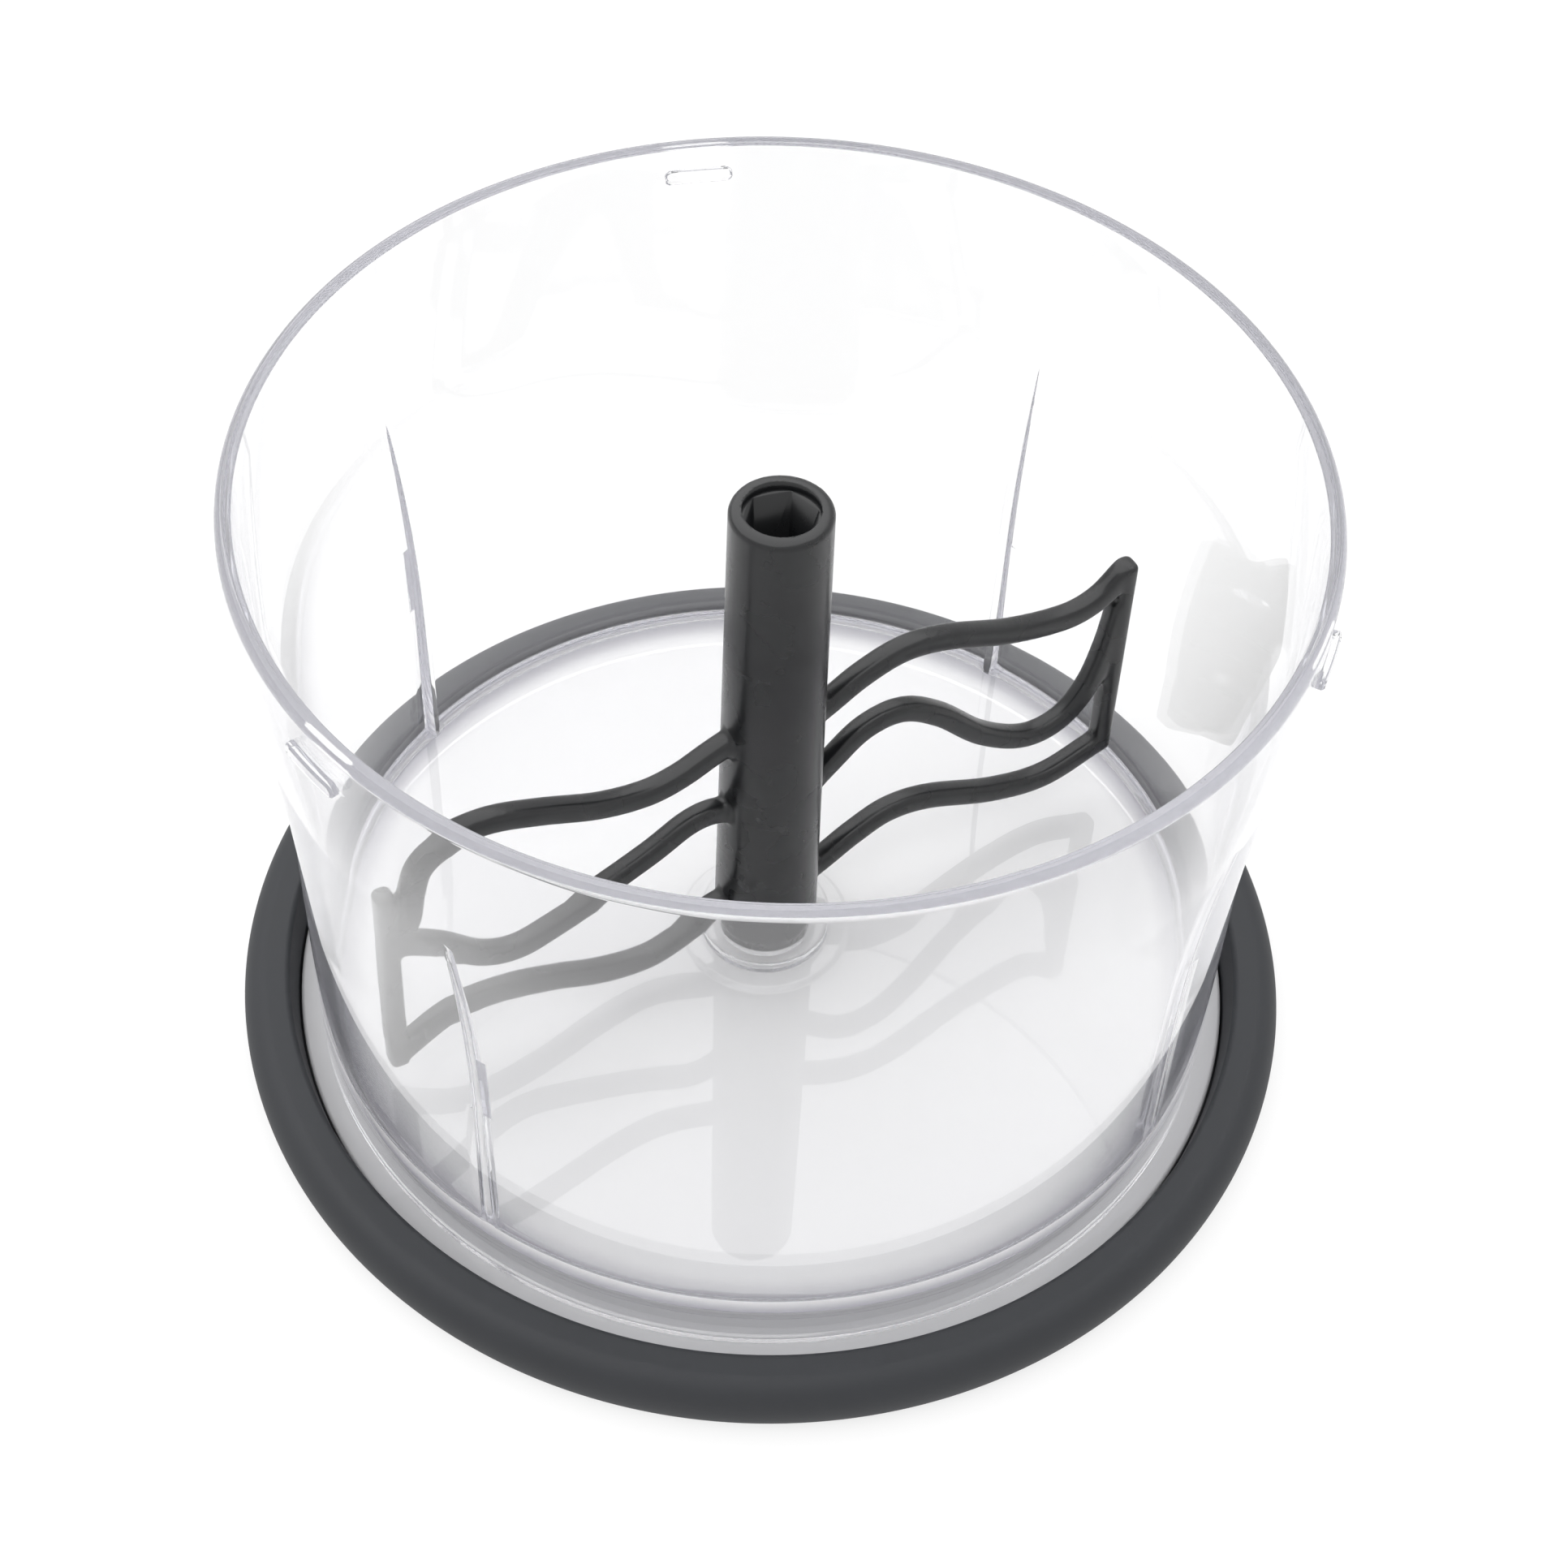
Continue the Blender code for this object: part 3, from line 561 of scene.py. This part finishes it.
for azimuth in RIB_AZIMUTHS:
    body = bmesh.new()
    bmesh.ops.create_cube(body, size=2 * MM)
    bmesh.ops.bevel(
        body, geom=[edge for edge in body.edges if max(v.co.x for v in edge.verts) < 0
                    and abs(edge.verts[0].co.z - edge.verts[1].co.z) > MM],
        offset=RIB_ROUND * MM, offset_type="OFFSET", affect="EDGES", segments=FILLET_SEGMENTS,
        profile=0.5, material=-1,
    )
    for cut in range(1, RIB_SECTIONS):
        bmesh.ops.bisect_plane(
            body, geom=body.verts[:] + body.edges[:] + body.faces[:], dist=1e-7,
            plane_co=(0, 0, (2 * cut / RIB_SECTIONS - 1) * MM), plane_no=(0, 0, 1),
        )
    foot = FLOOR_TOP - FLOOR_THICKNESS / 2
    for vert in body.verts:
        share = (vert.co.z / MM + 1) / 2
        height = foot + (RIB_HEIGHT + FLOOR_THICKNESS / 2) * share
        width = RIB_FOOT_WIDTH + (RIB_TOP_WIDTH - RIB_FOOT_WIDTH) * share
        proud = (RIB_PROUD + RIB_TIP_SUNK) * (1 - share ** 3) - RIB_TIP_SUNK * share
        inward = (1 - vert.co.x / MM) / 2
        radius = inner_wall(height) + RIB_ROOT_DEPTH - (RIB_ROOT_DEPTH + proud) * inward
        vert.co = Vector((radius, vert.co.y / MM * width / 2, height)) * MM
    bmesh.ops.rotate(
        body, verts=body.verts[:], cent=(0, 0, 0), matrix=Matrix.Rotation(math.radians(azimuth), 3, "Z")
    )
    bmesh.ops.recalc_face_normals(body, faces=body.faces[:])
    joined(bowl, finished("rib", body, clear), "UNION")

# Lugs of the bowl: three short bars with round ends, moulded on the outside 6 mm under the rim.
# The lid's hooks turn in under them.
LUG_AZIMUTHS = (101.5, 221.5, 341.5)
LUG_LENGTH = 9.0
LUG_HEIGHT = 2.0
LUG_PROUD = 1.0
LUG_EDGE = 0.3
LUG_DROP = 6.0
LUG_ROOT_DEPTH = 0.9
LUG_END_SEGMENTS = 8
LUG_END_SHARE = 0.98

for azimuth in LUG_AZIMUTHS:
    body = bmesh.new()
    bmesh.ops.create_cube(body, size=1.0)
    bmesh.ops.scale(body, verts=body.verts[:], vec=(
        (LUG_ROOT_DEPTH + LUG_PROUD) * MM, LUG_LENGTH * MM, LUG_HEIGHT * MM
    ))
    corners = [edge for edge in body.edges if abs(edge.verts[0].co.x - edge.verts[1].co.x) > MM / 2]
    bmesh.ops.bevel(
        body, geom=corners, offset=LUG_HEIGHT / 2 * MM * LUG_END_SHARE, offset_type="OFFSET",
        affect="EDGES", segments=LUG_END_SEGMENTS, profile=0.5, material=-1,
    )
    for cut in range(-3, 4):
        bmesh.ops.bisect_plane(
            body, geom=body.verts[:] + body.edges[:] + body.faces[:], dist=1e-7,
            plane_co=(0, cut * MM, 0), plane_no=(0, 1, 0),
        )
    front = (LUG_ROOT_DEPTH + LUG_PROUD) / 2 * MM - 1e-6
    face = [f for f in body.faces if all(v.co.x > front for v in f.verts)]
    bmesh.ops.inset_region(body, faces=face, thickness=LUG_EDGE * MM, depth=0)
    inner = {vert for f in face for vert in f.verts}
    for vert in body.verts:
        if vert.co.x > front and vert not in inner:
            vert.co.x -= LUG_EDGE * MM
    for vert in body.verts:
        radius = RIM_RADIUS - LUG_ROOT_DEPTH + vert.co.x / MM + (LUG_ROOT_DEPTH + LUG_PROUD) / 2
        angle = math.radians(azimuth) + vert.co.y / MM / RIM_RADIUS
        height = RIM_HEIGHT - LUG_DROP + vert.co.z / MM
        vert.co = Vector((radius * math.cos(angle), radius * math.sin(angle), height)) * MM
    bmesh.ops.recalc_face_normals(body, faces=body.faces[:])
    joined(bowl, finished("lug", body, clear), "UNION")

even_normals(bowl)
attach(bowl, "bowl")
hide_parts("bowl")

# Spindle pin: a plain stainless steel pin, ground round and chamfered at both ends.
# It stands in the hub under the bowl's floor, and the paddle turns on it.
PIN_REACH = 16.0
PIN_EDGE = 0.7
PIN_STEPS = 64
STEEL_GREY = "#C8C8CA"
STEEL_STRETCH = 20.0
STEEL_LINE = 0.12
STEEL_LINE_HEIGHT = 0.004
PIN_BOTTOM = HUB_BOTTOM + HUB_END_THICKNESS + SEAT_GAP
FOOT_BOTTOM = FLOOR_TOP + SEAT_GAP
PIN_TOP = FOOT_BOTTOM + PIN_REACH

# Ground stainless steel: a bright grey metal whose gloss is drawn out by fine rings round the pin.
# The rings are coarser than real ones, so that they show.
steel = empty_material("ground_stainless_steel")
tree = steel.node_tree
place = add_node(tree, "ShaderNodeTexCoord", {}).outputs["Object"]
place = add_node(tree, "ShaderNodeMapping", {
    "Vector": place, "Scale": (STEEL_STRETCH, STEEL_STRETCH, 1 / (STEEL_LINE * MM)),
})
lines = add_node(tree, "ShaderNodeTexNoise", {"Vector": place.outputs[0], "Scale": 1.0, "Detail": 3.0})
rough = add_node(
    tree, "ShaderNodeMapRange", {"Value": lines.outputs["Fac"], "To Min": 0.16, "To Max": 0.34}
)
bump = add_node(tree, "ShaderNodeBump", {
    "Height": lines.outputs["Fac"], "Strength": 0.2, "Distance": STEEL_LINE_HEIGHT * MM,
})
shader = add_node(tree, "ShaderNodeBsdfPrincipled", {
    "Base Color": linear(STEEL_GREY), "Metallic": 1.0, "Roughness": rough.outputs["Result"],
    "Normal": bump.outputs["Normal"],
})
add_node(tree, "ShaderNodeOutputMaterial", {"Surface": shader.outputs[0]})

outline = [
    (0.0, PIN_BOTTOM, 0),
    (PIN_RADIUS - PIN_EDGE, PIN_BOTTOM, 0),
    (PIN_RADIUS, PIN_BOTTOM + PIN_EDGE, 0),
    (PIN_RADIUS, PIN_TOP - PIN_EDGE, 0),
    (PIN_RADIUS - PIN_EDGE, PIN_TOP, 0),
    (0.0, PIN_TOP, 0),
]
pin = finished("pin_turned", turned(outline, PIN_STEPS), steel)
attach(pin, "bowl")
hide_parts("spindle_pin")

# Paddle: one glossy dark moulding, a hollow shaft with a hex socket and two arms of wavy bars.
# The bars run into shaft and posts with small fillets, as the melt fills one mould.
FOOT_HEIGHT = 3.4
FOOT_EDGE = 0.4
SHAFT_LENGTH = 77.1
SHAFT_TOP_RADIUS = 6.35
SHAFT_BASE_RADIUS = 6.95
SHAFT_TOP_EDGE = 0.6
PIN_BORE_SPARE = 1.5
CORE_RADIUS = 3.7
CORE_WEB = 4.5
SOCKET_ACROSS_FLATS = 7.9
SOCKET_DEPTH = 20.0
SOCKET_TURN = 18.0
LEAD_IN_RADIUS = 4.75
LEAD_IN_DEPTH = 1.3
ARM_AZIMUTH = 31.0
RIB_CLEARANCE = 3.2
BAR_THICKNESS = 3.3
BAR_DEPTH = 2.9
MIDDLE_BAR_DEPTH = 2.8
BAR_ROUND = 0.85
POST_THICKNESS = 2.6
POST_DEPTH = 3.1
SPAN_STEPS = 8
RIGHT_BARS = (
    ((0.0, 38.3), (0.065, 40.1), (0.16, 42.7), (0.28, 44.4), (0.415, 43.5), (0.625, 39.8),
     (0.81, 38.2), (0.915, 39.4), (0.99, 42.7)),
    ((0.0, 24.7), (0.07, 27.9), (0.175, 32.0), (0.295, 32.6), (0.42, 28.7), (0.57, 21.3),
     (0.72, 16.9), (0.84, 17.4), (0.925, 22.1), (0.97, 29.1), (0.995, 37.1)),
    ((0.0, 6.5), (0.075, 8.5), (0.17, 11.1), (0.28, 13.0), (0.415, 12.1), (0.635, 7.8),
     (0.82, 6.3), (1.0, 9.0)),
)
LEFT_BARS = (
    ((0.0, 40.1), (0.075, 38.8), (0.17, 36.9), (0.27, 36.2), (0.405, 37.4), (0.565, 40.5),
     (0.705, 42.7), (0.82, 42.6), (0.895, 40.3), (0.925, 36.4), (0.943, 31.8), (0.98, 27.6)),
    ((0.0, 26.2), (0.07, 27.4), (0.145, 27.0), (0.25, 24.3), (0.38, 21.6), (0.53, 18.9),
     (0.655, 17.5), (0.76, 19.3), (0.865, 24.1), (0.98, 27.8)),
    ((0.0, 8.3), (0.075, 7.5), (0.17, 5.3), (0.27, 4.0), (0.405, 5.1), (0.55, 7.9),
     (0.675, 9.8), (0.78, 10.4), (0.88, 9.3), (1.0, 5.5)),
)
RIGHT_POST = (8.0, 44.1)
LEFT_POST = (3.7, 37.5)
POST_LEAN = 0.3
BAR_ROOT = (CORE_RADIUS + SHAFT_BASE_RADIUS) / 2
POST_DISTANCE = SKIRT_RADIUS - WALL - RIB_PROUD - RIB_CLEARANCE - POST_THICKNESS / 2
SHAFT_TOP = FOOT_BOTTOM + SHAFT_LENGTH
SHAFT_STEPS = 128
BAR_ROUND_SEGMENTS = 4
VOXEL = 0.34
EVEN_PASSES = 3
FILLET_PASSES = 14
FILLET_HOLLOW = 0.012
LAST_PASSES = 2
SHAFT_SNAP = 0.35
SHAFT_SNAP_FROM = 0.004
SHAFT_SNAP_TO = 0.99
BAR_TOE = 0.06
BAR_SIDE = 2.6
SOFT_EDGE = 60.0
GLOSS_DARK = "#111214"
GLOSS_PALE = "#151618"
GLOSS_PEEL = 1.6
GLOSS_PEEL_HEIGHT = 0.03
GLOSS_CLOUD = 7.0


def smooth_line(points, steps):
    """A Catmull-Rom curve through the points, with so many steps between each two."""
    line = [Vector(points[0]) * 2 - Vector(points[1])]
    line += [Vector(point) for point in points]
    line += [Vector(points[-1]) * 2 - Vector(points[-2])]
    smooth = []
    for index in range(1, len(line) - 2):
        before, start, end, after = line[index - 1:index + 3]
        for step in range(steps):
            t = step / steps
            smooth.append(0.5 * (
                2 * start
                + (end - before) * t
                + (2 * before - 5 * start + 4 * end - after) * t ** 2
                + (3 * start - before - 3 * end + after) * t ** 3
            ))
    smooth.append(line[-2])
    return smooth


def swept_bar(line, thickness, depth):
    """A bar of rounded section drawn along a line in the XZ plane, with flat ends, in mm."""
    body = bmesh.new()
    bmesh.ops.create_grid(body, x_segments=1, y_segments=1, size=0.5)
    bmesh.ops.scale(body, verts=body.verts[:], vec=(thickness, depth, 1))
    bmesh.ops.bevel(
        body, geom=body.verts[:], offset=BAR_ROUND, offset_type="OFFSET", affect="VERTICES",
        segments=BAR_ROUND_SEGMENTS, profile=0.5, material=-1,
    )
    end = body.faces[:]
    stood = Matrix.Identity(4)
    for index, point in enumerate(line):
        along = (line[min(index + 1, len(line) - 1)] - line[max(index - 1, 0)]).normalized()
        place = Matrix((
            (-along.y, 0, along.x, point.x), (0, 1, 0, 0), (along.x, 0, along.y, point.y), (0, 0, 0, 1),
        ))
        if index:
            grown = bmesh.ops.extrude_face_region(body, geom=end)["geom"]
            if index > 1:
                bmesh.ops.delete(body, geom=end, context="FACES_ONLY")
            end = [item for item in grown if isinstance(item, bmesh.types.BMFace)]
        verts = list({vert for face in end for vert in face.verts})
        bmesh.ops.transform(body, matrix=place @ stood.inverted(), verts=verts)
        stood = place
    bmesh.ops.scale(body, verts=body.verts[:], vec=(MM, MM, MM))
    bmesh.ops.remove_doubles(body, verts=body.verts[:], dist=1e-7)
    bmesh.ops.recalc_face_normals(body, faces=body.faces[:])
    return body


# ABS moulded in a polished tool: near black, with clear highlights that a slight peel softens.
gloss = empty_material("moulded_glossy_dark_abs")
tree = gloss.node_tree
place = add_node(tree, "ShaderNodeTexCoord", {}).outputs["Object"]
peel = add_node(
    tree, "ShaderNodeTexNoise", {"Vector": place, "Scale": 1 / (GLOSS_PEEL * MM), "Detail": 2.0}
)
bump = add_node(tree, "ShaderNodeBump", {
    "Height": peel.outputs["Fac"], "Strength": 0.06, "Distance": GLOSS_PEEL_HEIGHT * MM,
})
cloud = add_node(
    tree, "ShaderNodeTexNoise", {"Vector": place, "Scale": 1 / (GLOSS_CLOUD * MM), "Detail": 3.0}
)
rough = add_node(
    tree, "ShaderNodeMapRange", {"Value": cloud.outputs["Fac"], "To Min": 0.2, "To Max": 0.34}
)
shade = add_node(tree, "ShaderNodeValToRGB", {"Fac": cloud.outputs["Fac"]})
shade.color_ramp.elements[0].position = 0.3
shade.color_ramp.elements[0].color = linear(GLOSS_DARK)
shade.color_ramp.elements[1].position = 0.7
shade.color_ramp.elements[1].color = linear(GLOSS_PALE)
shader = add_node(tree, "ShaderNodeBsdfPrincipled", {
    "Base Color": shade.outputs["Color"], "Roughness": rough.outputs["Result"], "IOR": 1.5,
    "Normal": bump.outputs["Normal"],
})
add_node(tree, "ShaderNodeOutputMaterial", {"Surface": shader.outputs[0]})

foot_top = FOOT_BOTTOM + FOOT_HEIGHT
outline = [
    (0.0, FOOT_BOTTOM, 0),
    (FOOT_RADIUS, FOOT_BOTTOM, FOOT_EDGE),
    (FOOT_RADIUS, foot_top, 0),
    (SHAFT_BASE_RADIUS, foot_top + FOOT_EDGE, 0),
    (SHAFT_TOP_RADIUS, SHAFT_TOP, SHAFT_TOP_EDGE),
    (0.0, SHAFT_TOP, 0),
]
paddle = finished("paddle_moulding", turned(outline, SHAFT_STEPS), gloss)
for side, bars, post in ((1, RIGHT_BARS, RIGHT_POST), (-1, LEFT_BARS, LEFT_POST)):
    lines = []
    for bar, depth in zip(bars, (BAR_DEPTH, MIDDLE_BAR_DEPTH, BAR_DEPTH)):
        reach = POST_DISTANCE - BAR_ROOT
        points = [(BAR_ROOT + reach * share, FOOT_BOTTOM + height) for share, height in bar]
        lines.append((smooth_line(points, SPAN_STEPS), BAR_THICKNESS, depth))
    foot = Vector((POST_DISTANCE + POST_LEAN, FOOT_BOTTOM + post[0]))
    tip = Vector((POST_DISTANCE, FOOT_BOTTOM + post[1]))
    lines.append(([foot, tip], POST_THICKNESS, POST_DEPTH))
    for line, thickness, depth in lines:
        body = swept_bar([Vector((side * point.x, point.y)) for point in line], thickness, depth)
        joined(paddle, finished("bar", body, gloss), "UNION")

step = paddle.modifiers.new("moulded", "REMESH")
step.mode = "VOXEL"
step.voxel_size = VOXEL * MM
bpy.context.view_layer.update()
evaluated = paddle.evaluated_get(bpy.context.evaluated_depsgraph_get())
body = bmesh.new()
body.from_mesh(evaluated.to_mesh())
evaluated.to_mesh_clear()
bpy.data.objects.remove(paddle, do_unlink=True)
for _ in range(EVEN_PASSES):
    bmesh.ops.smooth_vert(
        body, verts=body.verts[:], factor=0.5, use_axis_x=True, use_axis_y=True, use_axis_z=True
    )
# Smoothing only what is hollow fills the corners between bars, shaft and posts with small fillets.
for _ in range(FILLET_PASSES):
    body.normal_update()
    hollow = []
    for vert in body.verts:
        around = [edge.other_vert(vert).co for edge in vert.link_edges]
        middle = sum(around, Vector()) / len(around)
        if (middle - vert.co).dot(vert.normal) > FILLET_HOLLOW * MM:
            hollow.append(vert)
    bmesh.ops.smooth_vert(
        body, verts=hollow, factor=0.5, use_axis_x=True, use_axis_y=True, use_axis_z=True
    )
for _ in range(LAST_PASSES):
    bmesh.ops.smooth_vert(
        body, verts=body.verts[:], factor=0.5, use_axis_x=True, use_axis_y=True, use_axis_z=True
    )
# The shaft's own surface goes back on its true cone, which smoothing has dented.
for vert in body.verts:
    across = Vector((vert.co.x, vert.co.y)) / MM
    share = (vert.co.z / MM - foot_top - FOOT_EDGE) / (SHAFT_TOP - foot_top - FOOT_EDGE)
    true_radius = SHAFT_BASE_RADIUS + (SHAFT_TOP_RADIUS - SHAFT_BASE_RADIUS) * share
    proud = BAR_TOE if abs(across.y) < BAR_SIDE else SHAFT_SNAP
    if SHAFT_SNAP_FROM < share < SHAFT_SNAP_TO and -SHAFT_SNAP < across.length - true_radius < proud:
        across = across.normalized() * true_radius * MM
        vert.co = Vector((across.x, across.y, vert.co.z))
bmesh.ops.rotate(
    body, verts=body.verts[:], cent=(0, 0, 0), matrix=Matrix.Rotation(math.radians(ARM_AZIMUTH), 3, "Z")
)
paddle = finished("paddle_moulding", body, gloss, sharp=SOFT_EDGE)

# Bores of the paddle: moulded by pins in the tool, all on the shaft's axis.
# They are the pin's bore in the foot, a core up the shaft, the hex socket and its round lead-in.
CUT_PAST = 1.0
BORE_STEPS = 64
LEAD_IN_STEPS = 96
pin_bore_top = PIN_TOP + PIN_BORE_SPARE
socket_bottom = SHAFT_TOP - SOCKET_DEPTH
corner_radius = SOCKET_ACROSS_FLATS / math.sqrt(3)
for radius, low, high, steps, turn in (
    (PIN_RADIUS + TURNING_GAP, FOOT_BOTTOM - CUT_PAST, pin_bore_top, BORE_STEPS, 0.0),
    (CORE_RADIUS, pin_bore_top + CORE_WEB, socket_bottom + CUT_PAST, BORE_STEPS, 0.0),
    (corner_radius, socket_bottom, SHAFT_TOP + CUT_PAST, 6, SOCKET_TURN),
    (LEAD_IN_RADIUS, SHAFT_TOP - LEAD_IN_DEPTH, SHAFT_TOP + CUT_PAST, LEAD_IN_STEPS, 0.0),
):
    outline = [(0.0, low, 0), (radius, low, 0), (radius, high, 0), (0.0, high, 0)]
    body = turned(outline, steps)
    bmesh.ops.rotate(
        body, verts=body.verts[:], cent=(0, 0, 0), matrix=Matrix.Rotation(math.radians(turn), 3, "Z")
    )
    joined(paddle, finished("bore", body, gloss), "DIFFERENCE")
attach(paddle, "paddle")
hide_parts("paddle")
